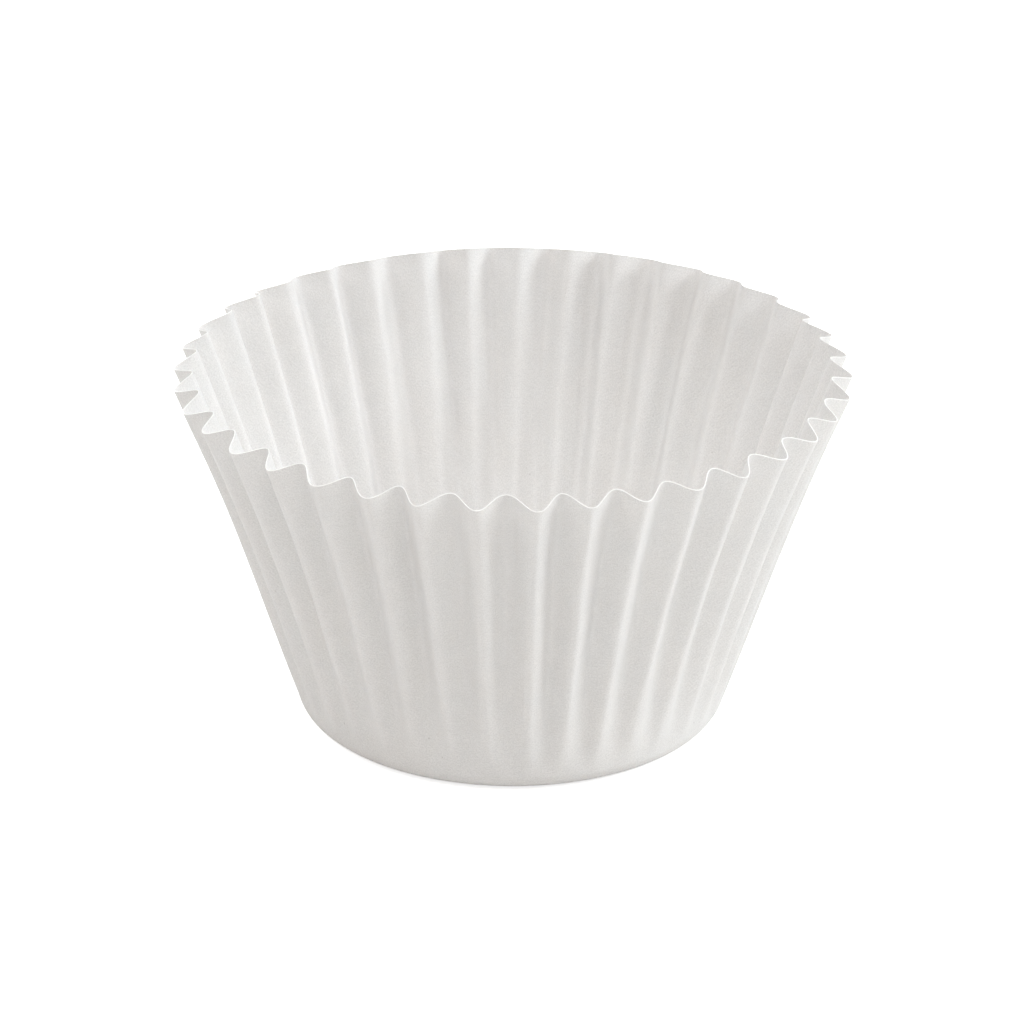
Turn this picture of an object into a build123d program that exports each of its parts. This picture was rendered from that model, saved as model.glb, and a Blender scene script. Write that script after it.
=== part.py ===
from build123d import *
import os
from math import atan2, comb, cos, hypot, pi, radians, sin, tan
from numpy import array, einsum
from numpy.linalg import inv

# A fluted paper baking cup: one disc of paper pressed into a flat floor, a rounded corner and a
# leaning wall of flutes that flares a little. The origin is the centre of the floor's underside, +Z points up to the
# open rim and a flute's ridge points along +X. Lengths are millimetres.

# Driving dimensions. "Mean" is the sheet's middle, halfway between a ridge and a valley.
FLUTES = 38
BASE_DIAMETER = 50.8  # where the wall's foot, carried straight down, would meet the floor
RIM_DIAMETER = 78.5  # the mean rim, halfway between ridges and valleys
HEIGHT = 43.6  # floor to mean rim
CORNER_RADIUS = 3.2  # the bend from floor to wall
WALL_FLARE = 3.9  # degrees that the wall's foot is steeper, and its rim flatter, than its chord
FLUTE_DEPTH = 2.7  # ridge to valley at the rim, square to the wall
FLUTE_ONSET = 0.6  # the smaller this is, the sooner the flutes deepen above the bend
PAPER = 0.1  # thickness of the sheet

# How closely the smooth faces follow the sheet: the degree of their curves.
ACROSS_DEGREE = 10  # round the cup, over one whole flute
BEND_DEGREE = 6  # up the bend
WALL_DEGREE = 8  # up the straight wall
SMALL_STEP = 1e-4  # the step, in millimetres or radians, that finds the sheet's direction

# The mean section is a flat floor, a round bend and a wall on a wide arc. The slope at the
# wall's foot settles where the wall starts, and that start settles the slope, so they are
# found by turns.
FLARE = radians(WALL_FLARE)
foot_slope = pi / 2
for _ in range(40):
    floor_radius = BASE_DIAMETER / 2 - CORNER_RADIUS * tan(foot_slope / 2)
    wall_run = RIM_DIAMETER / 2 - floor_radius - CORNER_RADIUS * sin(foot_slope)
    wall_rise = HEIGHT - CORNER_RADIUS * (1 - cos(foot_slope))
    foot_slope = atan2(wall_rise, wall_run) + FLARE
BEND_END = floor_radius + CORNER_RADIUS * foot_slope
WALL_LENGTH = hypot(wall_run, wall_rise) * FLARE / sin(FLARE)
WALL_TURN = 2 * FLARE / WALL_LENGTH  # how much the slope falls for each millimetre of wall
BLANK_RADIUS = BEND_END + WALL_LENGTH
PITCH = 2 * pi / FLUTES


def mean_section(reach):
    """Radius, height and slope angle of the mean sheet, at a distance along it from its centre."""
    bent = min((reach - floor_radius) / CORNER_RADIUS, foot_slope)
    slope = bent - WALL_TURN * max(reach - BEND_END, 0)
    radius = floor_radius + CORNER_RADIUS * sin(bent) + (sin(bent) - sin(slope)) / WALL_TURN
    height = PAPER / 2 + CORNER_RADIUS * (1 - cos(bent)) + (cos(slope) - cos(bent)) / WALL_TURN
    return radius, height, slope


def half_depth(reach):
    """Flutes start where the bend ends. They open quickly there and more slowly further up."""
    share = max(reach - BEND_END, 0) / WALL_LENGTH
    return FLUTE_DEPTH / 2 * share * (1 + FLUTE_ONSET) / (share + FLUTE_ONSET)


def sheet_point(reach, angle):
    """A point of the sheet's middle: the wave lies square to the mean wall."""
    radius, height, slope = mean_section(reach)
    wave = half_depth(reach) * cos(FLUTES * angle)
    radius += wave * sin(slope)
    height -= wave * cos(slope)
    return Vector(radius * cos(angle), radius * sin(angle), height)


def side_point(reach, angle, side):
    """A point half the paper's thickness from the middle: side is 1 outside and -1 inside."""
    low = max(reach - SMALL_STEP, floor_radius)
    high = min(reach + SMALL_STEP, BLANK_RADIUS)
    up = sheet_point(high, angle) - sheet_point(low, angle)
    around = sheet_point(reach, angle + SMALL_STEP) - sheet_point(reach, angle - SMALL_STEP)
    return sheet_point(reach, angle) + around.cross(up).normalized() * (side * PAPER / 2)


def nodes(degree):
    """Places from 0 to 1 where a smooth curve of this degree is fitted, closest at the ends."""
    return [(1 - cos(pi * i / degree)) / 2 for i in range(degree + 1)]


def weights(degree, t):
    """How much each control point of a smooth curve counts at t."""
    return [comb(degree, j) * t**j * (1 - t) ** (degree - j) for j in range(degree + 1)]


def fit_matrix(degree):
    """Turns points at the nodes into the control points of the curve that runs through them."""
    return inv(array([weights(degree, t) for t in nodes(degree)]))


def flute_face(start, end, degree, side):
    """One side of the sheet over one flute, valley to valley, from one reach to another."""
    reaches = [start + (end - start) * t for t in nodes(degree)]
    angles = [PITCH * (t - 0.5) for t in nodes(ACROSS_DEGREE)]
    grid = array([[tuple(side_point(reach, angle, side)) for angle in angles] for reach in reaches])
    net = einsum("ir,rac,ja->ijc", fit_matrix(degree), grid, fit_matrix(ACROSS_DEGREE))
    return Face.make_bezier_surface([[Vector(*point) for point in row] for row in net])


def bottom_edge(face):
    return face.edges().sort_by(Axis.Z)[0]


def top_edge(face):
    return face.edges().sort_by(Axis.Z)[-1]


def all_round(shape):
    return [shape.rotate(Axis.Z, 360 / FLUTES * i) for i in range(FLUTES)]


def make_liner():
    """Both sides of the sheet and the cut edge between them, closed into one solid."""
    faces = []
    rims = []
    for side in (1, -1):
        bend = flute_face(floor_radius, BEND_END, BEND_DEGREE, side)
        wall = flute_face(BEND_END, BLANK_RADIUS, WALL_DEGREE, side)
        faces.append(Face(Wire(all_round(bottom_edge(bend)))))
        faces += all_round(bend) + all_round(wall)
        rims.append(top_edge(wall))
    faces += all_round(Face.make_surface_from_curves(*rims))
    return Solid(Shell(faces))


liner = make_liner()
liner.label = "liner"
os.makedirs("parts", exist_ok=True)
export_step(liner, "parts/liner.step")
box = liner.bounding_box()
print("liner", liner.is_valid, "volume", round(liner.volume, 2), "mm3")
print("size", [round(value, 3) for value in box.size], "from", [round(value, 3) for value in box.min])
print("blank diameter", round(2 * BLANK_RADIUS, 2), "floor", round(2 * floor_radius, 2))
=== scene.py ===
# %% [markdown]
# # A fluted paper baking cup
#
# The real cup starts as a flat round disc of thin white paper. A press pushes the disc into a
# fluted mould. The middle stays flat and becomes the floor. Round it the paper bends up into a
# leaning wall, and the ring of paper that is too long for the cup folds itself into flutes.
# This lesson builds that one sheet by the same rule, gives it a paper finish, and lights it softly.

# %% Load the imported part
import math

import bpy
from mathutils import Matrix, Vector


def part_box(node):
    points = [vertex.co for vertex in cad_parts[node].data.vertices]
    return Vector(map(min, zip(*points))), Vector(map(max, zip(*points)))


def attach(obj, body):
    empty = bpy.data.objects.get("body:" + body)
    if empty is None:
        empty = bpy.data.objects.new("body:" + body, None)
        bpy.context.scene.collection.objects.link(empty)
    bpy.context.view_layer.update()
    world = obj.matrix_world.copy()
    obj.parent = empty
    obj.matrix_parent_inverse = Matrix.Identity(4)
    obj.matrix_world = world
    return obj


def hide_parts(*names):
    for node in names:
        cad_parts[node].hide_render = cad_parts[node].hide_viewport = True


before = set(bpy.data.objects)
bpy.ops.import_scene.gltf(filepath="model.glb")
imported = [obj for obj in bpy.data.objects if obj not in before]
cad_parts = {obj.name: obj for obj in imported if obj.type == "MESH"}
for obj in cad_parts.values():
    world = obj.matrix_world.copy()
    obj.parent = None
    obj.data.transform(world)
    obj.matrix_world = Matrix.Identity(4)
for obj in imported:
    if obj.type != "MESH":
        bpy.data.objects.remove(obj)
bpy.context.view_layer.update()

# %% [markdown]
# ## The camera
#
# The cup is seen from a little above, from far away with a long lens, so its sides hardly
# converge. The camera could be placed by eye, but a few numbers say it better: how steeply it
# looks down, how far away it stands, and where its line of sight passes the cup.
# It has a very small roll, as a camera on a tripod often does.

# %% Place the camera
LOOK_DOWN = math.radians(24.15)
TURN_ROUND = math.radians(1.00)  # how far the camera stands to the right of the cup's front
ROLL = math.radians(0.28)
CAMERA_DISTANCE = 0.7300
SIGHT_RAISED = 0.02278  # the line of sight passes this far above the middle of the floor
LENS = 210.3
SENSOR = 36.0


def make_camera():
    """A camera on the -Y side of the cup, looking down at it."""
    data = bpy.data.cameras.new("camera")
    data.lens = LENS
    data.sensor_width = SENSOR
    data.clip_start = 0.01
    camera = bpy.data.objects.new("camera", data)
    bpy.context.scene.collection.objects.link(camera)
    tilt = Matrix.Rotation(math.pi / 2 - LOOK_DOWN, 4, "X") @ Matrix.Rotation(ROLL, 4, "Z")
    ahead = Vector((0, math.cos(LOOK_DOWN), -math.sin(LOOK_DOWN)))
    above = Vector((0, math.sin(LOOK_DOWN), math.cos(LOOK_DOWN)))
    place = Matrix.Translation(above * SIGHT_RAISED - ahead * CAMERA_DISTANCE)
    camera.matrix_world = Matrix.Rotation(TURN_ROUND, 4, "Z") @ place @ tilt
    bpy.context.scene.camera = camera
    return camera


camera = make_camera()
print("camera at", [round(value, 4) for value in camera.matrix_world.translation])

# %% [markdown]
# ## The sizes of the sheet
#
# A section through the cup is a flat floor, a round bend and a wall on a very wide arc, so that
# the cup flares a little towards its rim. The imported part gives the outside: how far the ridges
# reach and how high the rim is. The wave lies square to the wall, so the wall's slope and the
# middle of the wave depend on each other. Working out one from the other, by turns, settles both.

# %% Work out the section
FLUTES = 38
BASE_RADIUS = 0.0254  # where the wall's foot, carried straight down, would meet the floor
BEND_RADIUS = 0.0032
FLARE = math.radians(3.9)  # the foot is this much steeper, and the rim flatter, than the chord
FLUTE_DEPTH = 0.0027  # ridge to valley at the rim
PAPER = 0.0001  # thickness
ROUNDS = 40  # far more than the slope needs to settle

cup_low, cup_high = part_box("liner")
foot_slope = math.pi / 2
for _ in range(ROUNDS):
    rim_slope = foot_slope - 2 * FLARE
    rim_radius = cup_high[0] - (FLUTE_DEPTH + PAPER) / 2 * math.sin(rim_slope)
    rim_height = cup_high[2] - (FLUTE_DEPTH + PAPER) / 2 * math.cos(rim_slope) - PAPER / 2
    floor_radius = BASE_RADIUS - BEND_RADIUS * math.tan(foot_slope / 2)
    wall_run = rim_radius - floor_radius - BEND_RADIUS * math.sin(foot_slope)
    wall_rise = rim_height - BEND_RADIUS * (1 - math.cos(foot_slope))
    foot_slope = math.atan2(wall_rise, wall_run) + FLARE

bend_end = floor_radius + BEND_RADIUS * foot_slope
wall_length = math.hypot(wall_run, wall_rise) * FLARE / math.sin(FLARE)
sheet_radius = bend_end + wall_length
slopes = [round(math.degrees(slope), 2) for slope in (foot_slope, rim_slope)]
print("the wall's slope falls, in degrees, from foot to rim:", slopes)
print("flat disc", round(2000 * sheet_radius, 1), "mm across")

# %% [markdown]
# ## Helpers for node trees
#
# A node tree can be drawn by hand, but one that is mostly arithmetic is easier to read as code.
# `put` adds a node and fills its inputs, with a number or with a link from another node.
# `calc` adds one step of arithmetic, and `new_tree` starts a tree with named inputs and outputs.

# %% Helpers for node trees


def put(tree, kind, inputs=None, **options):
    """Adds a node. inputs maps a socket's name or number to a value or to another node's output."""
    node = tree.nodes.new(kind)
    for name, value in options.items():
        setattr(node, name, value)
    for key, value in (inputs or {}).items():
        if isinstance(value, bpy.types.NodeSocket):
            tree.links.new(value, node.inputs[key])
        else:
            node.inputs[key].default_value = value
    return node


def calc(tree, operation, first, second=0.0, third=0.0):
    """One step of arithmetic; gives the result's socket."""
    values = {0: first, 1: second, 2: third}
    return put(tree, "ShaderNodeMath", values, operation=operation).outputs[0]


def combine(tree, x, y, z):
    """Three numbers as one vector."""
    return put(tree, "ShaderNodeCombineXYZ", {0: x, 1: y, 2: z}).outputs[0]


def ramp(tree, value, start, end):
    """A value from 0 at start to 1 at end, and no further either way."""
    limits = {"Value": value, "From Min": start, "From Max": end}
    return put(tree, "ShaderNodeMapRange", limits).outputs[0]


def new_tree(name, kind, inputs, outputs):
    """An empty tree or group. Each of its sockets is given as a name, a kind and a first value."""
    tree = bpy.data.node_groups.new(name, kind)
    for side, sockets in (("INPUT", inputs), ("OUTPUT", outputs)):
        for label, kind_of_value, value in sockets:
            socket_type = "NodeSocket" + kind_of_value
            socket = tree.interface.new_socket(label, in_out=side, socket_type=socket_type)
            if value is not None:
                socket.default_value = value
    given = tree.nodes.new("NodeGroupInput").outputs
    result = tree.nodes.new("NodeGroupOutput").inputs
    return tree, given, result


# %% [markdown]
# ## The section as a node group
#
# Every point of the sheet has a reach, its distance from the disc's centre along the paper. The
# press doesn't stretch paper much, so reach never changes. This group turns reach into the
# radius and height that the point has in the cup. The floor, bend and wall are one formula,
# because each stretch is clamped to its own part. The wall is an arc: its slope falls by the
# same small amount for each millimetre, which Wall Turn gives.

# %% Build the section group
SECTION_SIZES = ("Reach", "Floor Radius", "Bend Radius", "Foot Slope", "Wall Turn")
SECTION_RESULTS = ("Radius", "Height", "Slope", "Up Wall")


def make_section_group():
    sizes = [(name, "Float", None) for name in SECTION_SIZES]
    results = [(name, "Float", None) for name in SECTION_RESULTS]
    tree, given, result = new_tree("cup_section", "GeometryNodeTree", sizes, results)
    reach, floor, bend, foot, turn = (given[name] for name in SECTION_SIZES)

    def step(operation, *values):
        return calc(tree, operation, *values)

    past_floor = step("MAXIMUM", step("SUBTRACT", reach, floor), 0.0)
    bent = step("MINIMUM", step("DIVIDE", past_floor, bend), foot)
    past_bend = step("SUBTRACT", past_floor, step("MULTIPLY", bend, foot))
    up_wall = step("MAXIMUM", past_bend, 0.0)
    slope = step("SUBTRACT", bent, step("MULTIPLY", turn, up_wall))

    # Floor, then bend, then the wall's arc, each added to the one before.
    flat = step("MINIMUM", reach, floor)
    radius = step("MULTIPLY_ADD", bend, step("SINE", bent), flat)
    gain = step("SUBTRACT", step("SINE", bent), step("SINE", slope))
    radius = step("ADD", radius, step("DIVIDE", gain, turn))
    height = step("MULTIPLY", bend, step("SUBTRACT", 1.0, step("COSINE", bent)))
    gain = step("SUBTRACT", step("COSINE", slope), step("COSINE", bent))
    height = step("ADD", height, step("DIVIDE", gain, turn))
    for name, socket in zip(SECTION_RESULTS, (radius, height, slope, up_wall)):
        tree.links.new(socket, result[name])
    return tree


section_group = make_section_group()
print("section group has", len(section_group.nodes), "nodes")

# %% [markdown]
# ## Noise that closes round the cup
#
# The sheet could be modelled by hand, one flute and an array of it. But real flutes aren't
# copies: each is a little wider, narrower, deeper or shallower than the next, and a ridge
# sways slightly on its way up. Noise gives these differences. It is read on a circle instead of
# along a line, so that it has no step where the sheet's two ends meet.

# %% Build the closed noise


def closed_noise(tree, angle, detail, shift, along):
    """Noise round the cup, mostly from -1 to 1. detail is how quickly it changes."""
    east = calc(tree, "MULTIPLY", calc(tree, "COSINE", angle), detail)
    north = calc(tree, "MULTIPLY", calc(tree, "SINE", angle), detail)
    inputs = {"Vector": combine(tree, east, north, along), "W": shift, "Scale": 1.0, "Detail": 1.0}
    noise = put(tree, "ShaderNodeTexNoise", inputs, noise_dimensions="4D")
    return calc(tree, "MULTIPLY_ADD", noise.outputs[0], 4.0, -2.0)


# %% [markdown]
# ## The fluted sheet
#
# Geometry Nodes make the whole sheet from a flat grid, whose X goes round the cup and whose Y
# goes from the centre to the rim. The rows are spread unevenly: few on the flat floor, many in
# the bend and up the wall. Flutes start where the bend ends. They open quickly there and more
# slowly further up, because the ring of paper to be taken up grows all the way.
#
# The tree also stores where each point lay on the flat disc, its reach, how near it is to a
# ridge and how far it is from the rim. The paper finish reads these, so its fibres lie in the
# sheet and fold with it.

# %% Build the sheet tree
FLOOR_ROWS, BEND_ROWS, WALL_ROWS = 5, 12, 36
ALL_ROWS = FLOOR_ROWS + BEND_ROWS + WALL_ROWS
COLUMNS_PER_FLUTE = 20
PITCH_DETAIL = 5.0  # how quickly each noise changes round the cup
DEPTH_DETAIL = 5.0
SWAY_DETAIL = 6.0
RIM_DETAIL = 1.5
SWAY_UP_WALL = 60.0  # how quickly it changes up the wall, for each metre
DEPTH_UP_WALL = 25.0
SEAM = 1e-6  # points closer than this are one
COUNTS = ("Columns", "Rows")
SHEET_SIZES = ("Floor Radius", "Bend Radius", "Foot Slope", "Wall Length", "Wall Turn", "Flute Depth",
               "Flute Onset", "Paper", "Pitch Wander", "Depth Wander", "Ridge Sway", "Rim Wander", "Seed")


def share_out(tree, out, stretches):
    """The reach of a row: each stretch is a first share, a last share and a length."""
    reach = 0.0
    for start, end, length in stretches:
        part = ramp(tree, out, start, end)
        reach = calc(tree, "MULTIPLY_ADD", part, length, reach)
    from_end = calc(tree, "MULTIPLY", calc(tree, "SUBTRACT", 1.0, part), length)
    return reach, from_end


def make_sheet_tree():
    sizes = [("Flutes", "Int", FLUTES)] + [(name, "Int", None) for name in COUNTS]
    sizes += [(name, "Float", None) for name in SHEET_SIZES]
    sizes += [("Finish", "Material", None)]
    results = [("Geometry", "Geometry", None)]
    tree, given, result = new_tree("fluted_sheet", "GeometryNodeTree", sizes, results)

    def step(operation, *values):
        return calc(tree, operation, *values)

    def noise(detail, shift, along):
        """Each use shifts the seed or the place, so that no two noises are the same."""
        return closed_noise(tree, angle, detail, step("ADD", given["Seed"], shift), along)

    # The grid's own X and Y run from 0 to 1.
    counts = {"Size X": 1.0, "Size Y": 1.0, "Vertices X": given["Columns"], "Vertices Y": given["Rows"]}
    geometry = put(tree, "GeometryNodeMeshGrid", counts).outputs["Mesh"]
    place = put(tree, "ShaderNodeSeparateXYZ", {0: put(tree, "GeometryNodeInputPosition").outputs[0]})
    across = step("ADD", place.outputs[0], 0.5)
    out = step("ADD", place.outputs[1], 0.5)
    angle = step("MULTIPLY", across, 2 * math.pi)

    # From the centre to the rim, the rows are shared out between floor, bend and wall.
    bend_length = step("MULTIPLY", given["Bend Radius"], given["Foot Slope"])
    rim_noise = noise(RIM_DETAIL, 0.0, 7.0)
    uneven_wall = step("MULTIPLY_ADD", rim_noise, given["Rim Wander"], given["Wall Length"])
    floor_share = FLOOR_ROWS / ALL_ROWS
    bend_share = (FLOOR_ROWS + BEND_ROWS) / ALL_ROWS
    stretches = ((0.0, floor_share, given["Floor Radius"]), (floor_share, bend_share, bend_length),
                 (bend_share, 1.0, uneven_wall))
    reach, from_rim = share_out(tree, out, stretches)

    # The section there.
    here = put(tree, "GeometryNodeGroup", node_tree=section_group)
    tree.links.new(reach, here.inputs["Reach"])
    for name in SECTION_SIZES[1:]:
        tree.links.new(given[name], here.inputs[name])
    here = here.outputs

    # The wave. Its pitch wanders, its phase sways a little up the wall, and its depth differs.
    pitch_noise = noise(PITCH_DETAIL, 0.0, 0.0)
    sway_noise = noise(SWAY_DETAIL, 20.0, step("MULTIPLY", reach, SWAY_UP_WALL))
    moved = step("MULTIPLY", sway_noise, given["Ridge Sway"])
    moved = step("MULTIPLY_ADD", pitch_noise, given["Pitch Wander"], moved)
    pitch = step("DIVIDE", 2 * math.pi, given["Flutes"])
    phase = step("MULTIPLY", step("MULTIPLY_ADD", moved, pitch, angle), given["Flutes"])
    wave = step("COSINE", phase)

    # Its depth up the wall, by the onset rule, and its own unevenness.
    share = step("DIVIDE", here["Up Wall"], given["Wall Length"])
    onset = given["Flute Onset"]
    opening = step("DIVIDE", step("ADD", 1.0, onset), step("ADD", share, onset))
    depth_noise = noise(DEPTH_DETAIL, 40.0, step("MULTIPLY", reach, DEPTH_UP_WALL))
    depth = step("MULTIPLY_ADD", depth_noise, given["Depth Wander"], 1.0)
    depth = step("MULTIPLY", depth, step("MULTIPLY", share, opening))
    depth = step("MULTIPLY", step("MULTIPLY", given["Flute Depth"], 0.5), depth)
    push = step("MULTIPLY", depth, wave)

    # The wave lies square to the wall: it moves a point out and down, or in and up.
    radius = step("MULTIPLY_ADD", push, step("SINE", here["Slope"]), here["Radius"])
    height = step("SUBTRACT", here["Height"], step("MULTIPLY", push, step("COSINE", here["Slope"])))
    height = step("MULTIPLY_ADD", given["Paper"], 0.5, height)
    cosine, sine = step("COSINE", angle), step("SINE", angle)
    folded = combine(tree, step("MULTIPLY", radius, cosine), step("MULTIPLY", radius, sine), height)
    flat = combine(tree, step("MULTIPLY", reach, cosine), step("MULTIPLY", reach, sine), 0.0)

    # Store what the finish reads, then fold the grid into the cup and close its seam and centre.
    stored = (("flat_place", "FLOAT_VECTOR", flat), ("reach", "FLOAT", reach), ("wave", "FLOAT", wave),
              ("from_rim", "FLOAT", from_rim))
    for name, kind, value in stored:
        inputs = {"Geometry": geometry, "Name": name, "Value": value}
        kept = put(tree, "GeometryNodeStoreNamedAttribute", inputs, data_type=kind, domain="POINT")
        geometry = kept.outputs[0]
    for kind, inputs in (("GeometryNodeSetPosition", {"Position": folded}),
                         ("GeometryNodeMergeByDistance", {"Distance": SEAM}),
                         ("GeometryNodeRealizeInstances", {}),
                         ("GeometryNodeSetMaterial", {"Material": given["Finish"]})):
        geometry = put(tree, kind, {"Geometry": geometry, **inputs}).outputs[0]
    tree.links.new(geometry, result["Geometry"])
    return tree


sheet_tree = make_sheet_tree()
print("sheet tree has", len(sheet_tree.nodes), "nodes")

# %% [markdown]
# ## Paper, up close
#
# White paper is never one flat colour. Held near the eye it is cloudy, because its fibres
# gather in soft lumps a few millimetres across. Closer still it has short fibres, mostly along
# the way that the web of paper ran, and a fine even grain. Here and there is a faint speck of
# bark. An image could show all this, but noise never repeats and needs no file. The group below
# gives each effect as a value, about -1 to 1, so that a material may use it for colour, gloss
# and height. It reads a place on the flat disc, because the fibres were there before the folds.

# %% Build the paper group
FIBRE_WAYS = (((0.25, 1, 1), 0.0), ((0.35, 1, 1), 1.1))  # a stretch and a turn for each
WARMTH_SIZE = 4.0  # times the clouds' size
GRAIN_SIZE = 0.8  # times the fibres' size
SPECK_SPACING = 0.9  # times the clouds' size
SPECK_CHANCE = 0.18


def make_paper_group():
    sizes = [("Place", "Vector", None), ("Cloud Size", "Float", 0.003), ("Fibre Size", "Float", 0.00025)]
    results = [(name, "Float", None) for name in ("Clouds", "Fibres", "Grain", "Warmth", "Specks")]
    tree, given, result = new_tree("paper_fibres", "ShaderNodeTree", sizes, results)

    def scaled(name, factor):
        return calc(tree, "MULTIPLY", given[name], factor)

    def texture(kind, size, stretch=(1, 1, 1), turn=0.0, **inputs):
        """A noise whose features are about this size, stretched along one way of the sheet."""
        mapping = {"Vector": given["Place"], "Scale": stretch, "Rotation": (0, 0, turn)}
        turned = put(tree, "ShaderNodeMapping", mapping).outputs[0]
        scale = calc(tree, "DIVIDE", 1.0, size)
        return put(tree, kind, {"Vector": turned, "Scale": scale, **inputs}).outputs

    def noise(size, *way, **inputs):
        outputs = texture("ShaderNodeTexNoise", size, *way, **inputs)
        return calc(tree, "MULTIPLY", calc(tree, "SUBTRACT", outputs[0], 0.5), 2.0)

    def fibres(stretch, turn):
        return noise(given["Fibre Size"], stretch, turn, Detail=2.0, Distortion=0.6)

    dots = texture("ShaderNodeTexVoronoi", scaled("Cloud Size", SPECK_SPACING), Randomness=1.0)
    near = ramp(tree, dots["Distance"], 0.06, 0.02)
    chance = put(tree, "ShaderNodeSeparateColor", {0: dots["Color"]}).outputs[0]
    rare = calc(tree, "GREATER_THAN", chance, 1 - SPECK_CHANCE)
    values = {"Clouds": noise(given["Cloud Size"], Detail=3.0, Roughness=0.55),
              "Fibres": calc(tree, "ADD", *(fibres(*way) for way in FIBRE_WAYS)),
              "Grain": noise(scaled("Fibre Size", GRAIN_SIZE), Detail=1.0),
              "Warmth": noise(scaled("Cloud Size", WARMTH_SIZE), Detail=2.0),
              "Specks": calc(tree, "MULTIPLY", near, rare)}
    for name, socket in values.items():
        tree.links.new(socket, result[name])
    return tree


paper_group = make_paper_group()
print("paper group has", len(paper_group.nodes), "nodes")

# %% [markdown]
# ## The paper finish
#
# The finish mixes what the group gives. The colour is a soft white that drifts between warm and
# cool, a little darker where the fibres are thick. The ridges are slightly glossier, as the mould
# burnishes them, and their crests are painted slightly lighter, a painted highlight. The mould's
# flutes draw faint upright lines into the paper. The cut edge of the rim is painted whiter, a
# painted glow for the light that comes out of it. The heights are in metres: clouds and
# lines of about a hundredth of a millimetre, and lower fibres and grain.
# Light passes into paper and spreads before it comes out, so the shader has some subsurface.

# %% The amounts of the finish
COOL_WHITE = (0.806, 0.805, 0.803, 1)
WARM_WHITE = (0.808, 0.796, 0.786, 1)
# A painted glow: the cut edge is painted whiter to stand for the light that comes out of it.
PAINTED_EDGE_GLOW = (0.92, 0.92, 0.915, 1)
SPECK_BROWN = (0.16, 0.13, 0.11, 1)
SPECK_STRENGTH = 0.25
# The ridge crests' share of the colour here is a painted highlight: it lightens them where light would
# catch them.
SHADES = {"Clouds": 0.03, "Fibres": 0.04, "Grain": 0.17, "Lines": 0.015, "RidgeGlossAndPaintedHighlight": 0.008}
HEIGHTS = {"Clouds": 1.2e-5, "Fibres": 6e-6, "Grain": 8e-6, "Lines": 1.2e-5}
GLOSS = {"Fibres": 0.04, "RidgeGlossAndPaintedHighlight": -0.06}
ROUGHNESS = 0.46
RIDGE_TOP = 0.86  # the wave is this near its crest where a ridge is glossier and has a painted highlight
PAINTED_GLOW_FADE = (0.0001, 0.00002)  # from the rim, where the painted glow of the cut edge fades out
LINES_ROUND = 90.0  # how quickly the lines change round the cup
LINES_UP = 60.0  # and up it, for each metre


def weigh(tree, effects, amounts, base):
    """The base value, plus each effect times its amount."""
    for name, amount in amounts.items():
        base = calc(tree, "MULTIPLY_ADD", effects[name], amount, base)
    return base


def mix_colour(tree, share, first, second, blend="MIX"):
    """A share of the second colour in the first."""
    node = put(tree, "ShaderNodeMix", data_type="RGBA", blend_type=blend)
    for key, value in ((0, share), (6, first), (7, second)):
        if isinstance(value, bpy.types.NodeSocket):
            tree.links.new(value, node.inputs[key])
        else:
            node.inputs[key].default_value = value
    return node.outputs[2]


print("effects that shade the paper:", SHADES)

# %% Make the paper finish


def mould_lines(tree, place, reach):
    """Noise from -0.5 to 0.5 that changes fast round the cup and slowly up the wall."""
    way = put(tree, "ShaderNodeVectorMath", {0: place}, operation="NORMALIZE").outputs[0]
    way = put(tree, "ShaderNodeSeparateXYZ", {0: way}).outputs
    east = calc(tree, "MULTIPLY", way[0], LINES_ROUND)
    north = calc(tree, "MULTIPLY", way[1], LINES_ROUND)
    up = calc(tree, "MULTIPLY", reach, LINES_UP)
    inputs = {"Vector": combine(tree, east, north, up), "Scale": 1.0, "Detail": 2.0}
    lines = put(tree, "ShaderNodeTexNoise", inputs).outputs[0]
    return calc(tree, "SUBTRACT", lines, 0.5)


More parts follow.
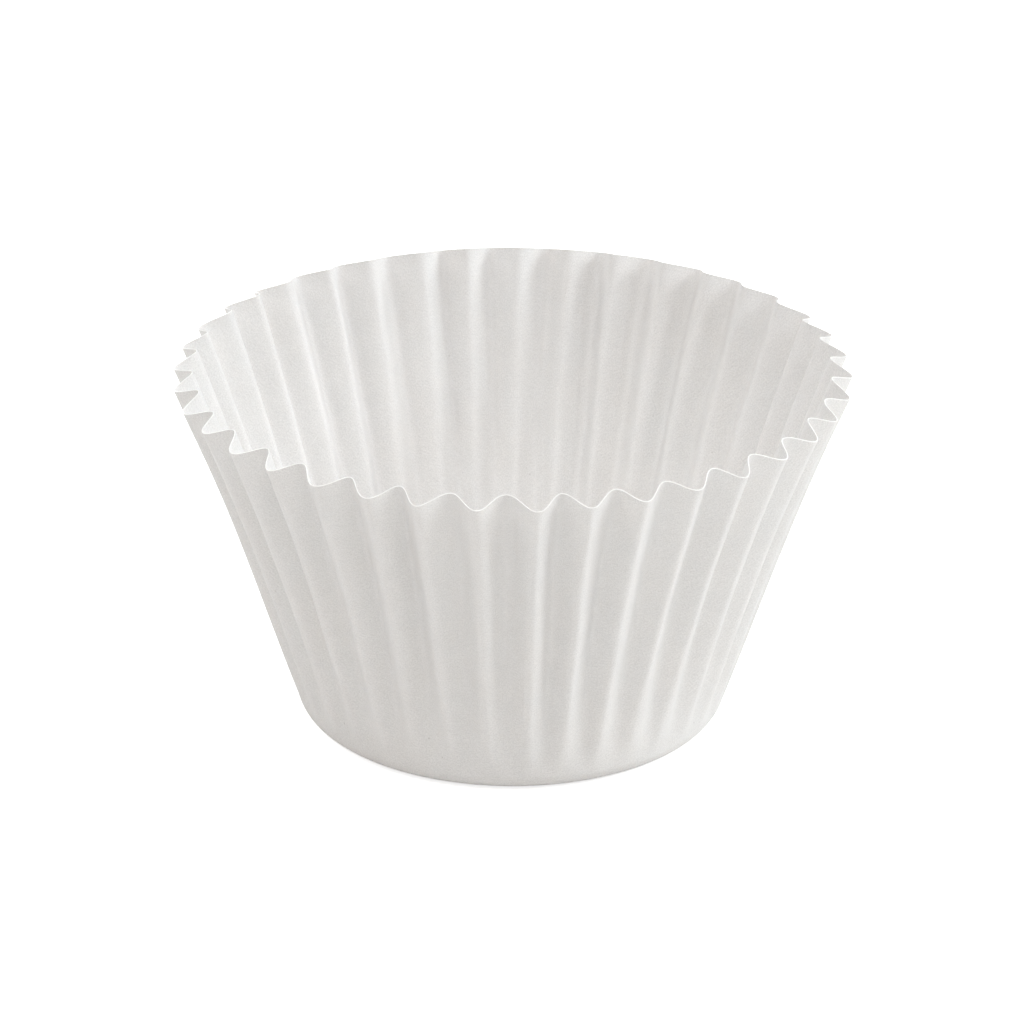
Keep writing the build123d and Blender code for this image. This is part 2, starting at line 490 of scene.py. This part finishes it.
def make_paper():
    material = bpy.data.materials.new("baking_paper")
    material.use_nodes = True
    tree = material.node_tree
    shader = tree.nodes["Principled BSDF"]

    def stored(name, output):
        return put(tree, "ShaderNodeAttribute", attribute_name=name).outputs[output]

    place, reach = stored("flat_place", "Vector"), stored("reach", "Fac")
    wave, from_rim = stored("wave", "Fac"), stored("from_rim", "Fac")
    paper = put(tree, "ShaderNodeGroup", node_tree=paper_group)
    tree.links.new(place, paper.inputs["Place"])
    effects = {socket.name: socket for socket in paper.outputs}

    # What the mould did from the bend upwards: glossier ridges and faint lines. The ridge crests also get
    # a painted highlight.
    raised = ramp(tree, reach, floor_radius, bend_end)
    effects["RidgeGlossAndPaintedHighlight"] = calc(tree, "MULTIPLY", ramp(tree, wave, RIDGE_TOP, 1.0), raised)
    effects["Lines"] = calc(tree, "MULTIPLY", mould_lines(tree, place, reach), raised)

    drift = calc(tree, "MULTIPLY_ADD", effects["Warmth"], 0.8, 0.5)
    white = mix_colour(tree, drift, COOL_WHITE, WARM_WHITE)
    shade = weigh(tree, effects, SHADES, 1.0)
    white = mix_colour(tree, 1.0, white, combine(tree, shade, shade, shade), "MULTIPLY")
    faint = calc(tree, "MULTIPLY", effects["Specks"], SPECK_STRENGTH)
    white = mix_colour(tree, faint, white, SPECK_BROWN)
    # Paints the cut edge whiter near the rim, a painted glow for light leaving the paper's edge.
    white = mix_colour(tree, ramp(tree, from_rim, *PAINTED_GLOW_FADE), white, PAINTED_EDGE_GLOW)
    tree.links.new(white, shader.inputs["Base Color"])
    tree.links.new(weigh(tree, effects, GLOSS, ROUGHNESS), shader.inputs["Roughness"])
    height = weigh(tree, effects, HEIGHTS, 0.0)
    bump = put(tree, "ShaderNodeBump", {"Height": height, "Distance": 1.0, "Strength": 1.0})
    tree.links.new(bump.outputs[0], shader.inputs["Normal"])

    shader.inputs["Subsurface Weight"].default_value = 0.25
    shader.inputs["Subsurface Radius"].default_value = (1.0, 0.95, 0.9)
    shader.inputs["Subsurface Scale"].default_value = 0.00015
    shader.inputs["IOR"].default_value = 1.45
    shader.inputs["Specular IOR Level"].default_value = 0.5
    return material


paper_finish = make_paper()
print("paper finish has", len(paper_finish.node_tree.nodes), "nodes")

# %% [markdown]
# ## Fold the sheet
#
# The tree makes a surface with no thickness. Solidify gives it the paper's own thickness, half
# to each side, and closes the cut edge at the rim. The result is turned into a plain mesh, and
# both modifiers are left behind. The floor and wall are shaded smooth, and the cut edge stays
# crisp, because its faces meet the sheet at a right angle.

# %% Choose how uneven the cup is
FLUTE_ONSET = 0.45  # the smaller this is, the sooner the flutes deepen above the bend
PITCH_WANDER = 0.09  # in flute widths
DEPTH_WANDER = 0.12  # as a share of the depth
RIDGE_SWAY = 0.03  # in flute widths
RIM_WANDER = 0.00012  # in metres
SEED = 3.0
CRISP = math.radians(50)  # faces that meet at more than this keep a crisp edge

liner_sizes = {
    "Flutes": FLUTES,
    "Columns": FLUTES * COLUMNS_PER_FLUTE + 1,
    "Rows": ALL_ROWS + 1,
    "Floor Radius": floor_radius,
    "Bend Radius": BEND_RADIUS,
    "Foot Slope": foot_slope,
    "Wall Length": wall_length,
    "Wall Turn": 2 * FLARE / wall_length,
    "Flute Depth": FLUTE_DEPTH,
    "Flute Onset": FLUTE_ONSET,
    "Paper": PAPER,
    "Pitch Wander": PITCH_WANDER,
    "Depth Wander": DEPTH_WANDER,
    "Ridge Sway": RIDGE_SWAY,
    "Rim Wander": RIM_WANDER,
    "Seed": SEED,
    "Finish": paper_finish,
}
print("grid of", liner_sizes["Columns"], "by", liner_sizes["Rows"], "points")

# %% Make the liner


def set_input(modifier, tree, name, value):
    """A modifier's inputs go by the socket's identifier, not by its name."""
    for item in tree.interface.items_tree:
        if item.item_type == "SOCKET" and item.in_out == "INPUT" and item.name == name:
            modifier[item.identifier] = value


def make_liner():
    draft = bpy.data.objects.new("liner_draft", bpy.data.meshes.new("liner_draft"))
    bpy.context.scene.collection.objects.link(draft)
    fold = draft.modifiers.new("fold", "NODES")
    fold.node_group = sheet_tree
    for name, value in liner_sizes.items():
        set_input(fold, sheet_tree, name, value)
    thick = draft.modifiers.new("paper", "SOLIDIFY")
    thick.thickness = PAPER
    thick.offset = 0.0
    evaluated = draft.evaluated_get(bpy.context.evaluated_depsgraph_get())
    mesh = bpy.data.meshes.new_from_object(evaluated)
    bpy.data.objects.remove(draft)
    mesh.name = "paper_liner"
    mesh.shade_smooth()
    mesh.set_sharp_from_angle(angle=CRISP)
    liner = bpy.data.objects.new("paper_liner", mesh)
    bpy.context.scene.collection.objects.link(liner)
    return liner


liner = make_liner()
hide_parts("liner")
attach(liner, "root")
liner.data.calc_loop_triangles()
print("liner has", len(liner.data.loop_triangles), "triangles")

# %% [markdown]
# ## The floor and the room
#
# The cup stands on a plain pale floor in a white room, so soft light reaches it from all round
# and off the floor. The floor glows a little, for the camera only: that keeps it an even white
# with hardly a shadow, and it doesn't light the cup. One big plane is enough.

# %% Floor and room
WHITE = (1, 1, 1)
FLOOR_PALE = (0.88, 0.871, 0.858, 1)
FLOOR_HALF = 3.0
FLOOR_LEVEL = -0.00002
FLOOR_GLOW = 0.75
ROOM_LIGHT = 0.165


def make_floor():
    mesh = bpy.data.meshes.new("floor")
    signs = ((-1, -1), (1, -1), (1, 1), (-1, 1))
    corners = [(x * FLOOR_HALF, y * FLOOR_HALF, FLOOR_LEVEL) for x, y in signs]
    mesh.from_pydata(corners, [], [(0, 1, 2, 3)])
    material = bpy.data.materials.new("pale_floor")
    material.use_nodes = True
    tree = material.node_tree
    shader = tree.nodes["Principled BSDF"]
    shader.inputs["Base Color"].default_value = FLOOR_PALE
    shader.inputs["Roughness"].default_value = 0.9
    shader.inputs["Specular IOR Level"].default_value = 0.0
    shader.inputs["Emission Color"].default_value = (*WHITE, 1)
    seen = put(tree, "ShaderNodeLightPath").outputs["Is Camera Ray"]
    glow = calc(tree, "MULTIPLY", seen, FLOOR_GLOW)
    tree.links.new(glow, shader.inputs["Emission Strength"])
    mesh.materials.append(material)
    floor = bpy.data.objects.new("floor", mesh)
    bpy.context.scene.collection.objects.link(floor)
    return floor


def make_room():
    world = bpy.data.worlds.new("white_room")
    world.use_nodes = True
    sky = world.node_tree.nodes["Background"]
    sky.inputs["Color"].default_value = (*WHITE, 1)
    sky.inputs["Strength"].default_value = ROOM_LIGHT
    bpy.context.scene.world = world


make_floor()
make_room()
print("floor reaches", FLOOR_HALF, "m each way; room light", ROOM_LIGHT)

# %% [markdown]
# ## The lamps
#
# A white room alone would hide the flutes. Eight soft lamps stand round the cup, as panels and
# reflectors do in a studio. Those at the right and the back are strongest and slightly cool, and
# those at the front and left are weaker and warm. Each flute's flank that faces right is then
# brighter than the next, and the inside of the left wall is the brightest place. Only one lamp
# is small: it draws a crisp line along each ridge.

# %% Lamps
WARM_LIGHT = (1.0, 0.967, 0.938)
COOL_LIGHT = (0.955, 0.99, 1.0)
LAMP_DISTANCE = 1.0
LAMPS = {  # degrees round from +X, degrees up, size, power and colour
    "front_lamp": (-90.0, 55.0, 0.5, 1.45, WARM_LIGHT),
    "front_left_lamp": (-150.0, 50.0, 0.5, 2.3, WARM_LIGHT),
    "front_right_lamp": (-60.0, 60.0, 0.5, 2.0, WARM_LIGHT),
    "small_lamp": (-30.0, 40.0, 0.12, 1.0, WHITE),
    "right_lamp": (-8.0, 28.0, 0.4, 2.9, COOL_LIGHT),
    "back_right_lamp": (40.0, 40.0, 0.4, 4.0, COOL_LIGHT),
    "back_lamp": (106.0, 37.0, 0.5, 3.8, COOL_LIGHT),
    "back_left_lamp": (156.0, 42.0, 0.4, 1.65, WARM_LIGHT),
}


def make_lamp(name, direction, height, size, power, colour):
    """A square area lamp that looks at the middle of the cup."""
    data = bpy.data.lights.new(name, "AREA")
    data.size = size
    data.energy = power
    data.color = colour
    lamp = bpy.data.objects.new(name, data)
    bpy.context.scene.collection.objects.link(lamp)
    turn, lift = math.radians(direction), math.radians(height)
    flat = math.cos(lift)
    way = Vector((math.cos(turn) * flat, math.sin(turn) * flat, math.sin(lift)))
    lamp.location = way * LAMP_DISTANCE + Vector((0, 0, cup_high[2] / 2))
    lamp.rotation_euler = way.to_track_quat("Z", "Y").to_euler()


for name, settings in LAMPS.items():
    make_lamp(name, *settings)
bpy.context.scene.view_settings.view_transform = "Standard"
print("lamps:", ", ".join(LAMPS))
